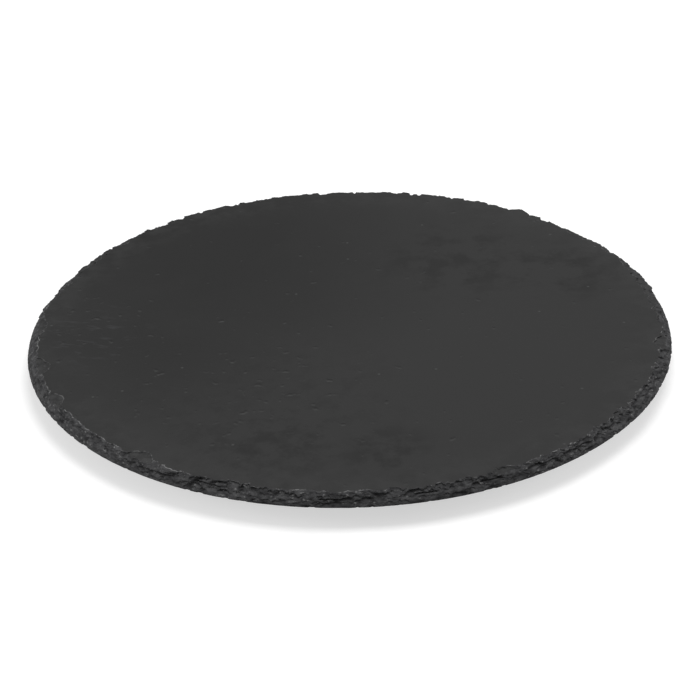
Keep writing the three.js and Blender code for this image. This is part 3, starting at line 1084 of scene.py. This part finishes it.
colour = add_node(
    tree,
    "ShaderNodeMix",
    {0: break_share, 6: face_colour, 7: break_colour},
    2,
    data_type="RGBA",
)
tree.links.new(colour, shader.inputs["Base Color"])
matt = add_node(tree, "ShaderNodeMapRange", {"Value": break_share, "To Min": 0.7, "To Max": 0.85})
tree.links.new(matt, shader.inputs["Roughness"])
grit = add_node(tree, "ShaderNodeTexNoise", {"Vector": place, "Scale": 1 / MM, "Detail": 3})
relief = add_node(tree, "ShaderNodeBump", {"Strength": 0.35, "Distance": 0.2 * MM, "Height": grit})
relief = add_node(
    tree,
    "ShaderNodeBump",
    {"Strength": 0.8, "Distance": 0.25 * MM, "Height": pit, "Normal": relief},
    invert=True,
)
tree.links.new(relief, shader.inputs["Normal"])
shader.inputs["Specular IOR Level"].default_value = 0.03
dress(board, slate, "turntable", "slate_board")


# Studio
# A sheet of white paper under one overhead softbox, with a weaker softbox low at each side and an even
# white surround. The camera stands where the photograph was taken from.
PAPER_SIZE = 30
deselect()
bpy.ops.mesh.primitive_plane_add(size=PAPER_SIZE)
floor = bpy.context.object
floor.name = "studio_floor"
paper = bpy.data.materials.new("white_paper_sweep")
paper.use_nodes = True
tree = paper.node_tree
tree.nodes.remove(tree.nodes["Principled BSDF"])


def seen_directly(tree):
    """1 for the rays that show a thing as it is: to the camera, in a reflection or through glass."""
    seen = add_node(
        tree,
        "ShaderNodeMath",
        {
            0: add_node(tree, "ShaderNodeLightPath", {}, "Is Camera Ray"),
            1: add_node(tree, "ShaderNodeLightPath", {}, "Is Glossy Ray"),
        },
        operation="MAXIMUM",
    )
    through = add_node(tree, "ShaderNodeLightPath", {}, "Is Transmission Ray")
    return add_node(tree, "ShaderNodeMath", {0: seen, 1: through}, operation="MAXIMUM")


# White paper: matt, and it glows a little where it is seen, so that it comes out white under these lamps.
# The glow grows with the distance from the board, as the lamps' light falls off. It is weakest under and
# near the board, which paints a darker shadow there besides the real one.
on_paper = add_node(tree, "ShaderNodeTexCoord", {}, "Object")
distance = add_node(tree, "ShaderNodeVectorMath", {0: on_paper}, "Value", operation="LENGTH")
glow_with_painted_shadow = add_node(
    tree,
    "ShaderNodeMapRange",
    {"Value": distance, "From Max": 0.5, "To Min": 0.35, "To Max": 1},
)
glow_with_painted_shadow = add_node(tree, "ShaderNodeMath", {0: seen_directly(tree), 1: glow_with_painted_shadow}, operation="MULTIPLY")
white = add_node(tree, "ShaderNodeBsdfDiffuse", {"Color": linear("#bcbcbc")})
glow = add_node(tree, "ShaderNodeEmission", {"Strength": glow_with_painted_shadow})
both = add_node(tree, "ShaderNodeAddShader", {0: white, 1: glow})
tree.links.new(both, tree.nodes["Material Output"].inputs["Surface"])
floor.data.materials.append(paper)

world = bpy.data.worlds.new("studio_surround")
bpy.context.scene.world = world
world.use_nodes = True
tree = world.node_tree
surround = add_node(tree, "ShaderNodeMapRange", {"Value": seen_directly(tree), "To Min": 0.28, "To Max": 1})
tree.links.new(surround, tree.nodes["Background"].inputs["Strength"])
tree.nodes["Background"].inputs["Color"].default_value = (1, 1, 1, 1)


def softbox(name, place, size, watts):
    """A square area lamp that faces the board. Its place and size are in metres."""
    light = bpy.data.lights.new(name, "AREA")
    light.size = size
    light.energy = watts
    lamp = bpy.data.objects.new(name, light)
    bpy.context.scene.collection.objects.link(lamp)
    lamp.location = place
    lamp.rotation_euler = (-lamp.location).to_track_quat("-Z", "Y").to_euler()


softbox("overhead_softbox", (0.2, 0.0, 1.6), size=0.9, watts=16)
softbox("left_fill", (-1.6, -0.1, 0.45), size=0.6, watts=9)
softbox("right_fill", (1.6, 0.2, 0.45), size=0.6, watts=6)

# The photograph is taken from 28.4 degrees above by a long lens, with a slight roll
PICTURE = 700
ELEVATION = math.radians(28.41)
ROLL = math.radians(1.52)
DISTANCE = 1.4
FOCUS = 2239  # focal length in the picture's pixels
CENTRE = (349.5, 334.65)  # where the middle of the board's underside falls in the picture
SENSOR = 36
camera_data = bpy.data.cameras.new("camera")
camera_data.sensor_width = SENSOR
camera_data.lens = FOCUS * SENSOR / PICTURE
camera = bpy.data.objects.new("camera", camera_data)
bpy.context.scene.collection.objects.link(camera)
target = Vector((0, 0, board_low.z))
back = Vector((0, -math.cos(ELEVATION), math.sin(ELEVATION)))
right = Matrix.Rotation(-ROLL, 3, back) @ Vector((1, 0, 0))
up = back.cross(right)
aim = target + DISTANCE / FOCUS * ((PICTURE / 2 - CENTRE[0]) * right - (PICTURE / 2 - CENTRE[1]) * up)
camera.location = target + DISTANCE * back
view = (camera.location - aim).normalized()
right = (right - right.dot(view) * view).normalized()
up = view.cross(right)
camera.matrix_world = Matrix.Translation(camera.location) @ Matrix((right, up, view)).transposed().to_4x4()
bpy.context.scene.camera = camera
bpy.context.scene.view_settings.view_transform = "Standard"
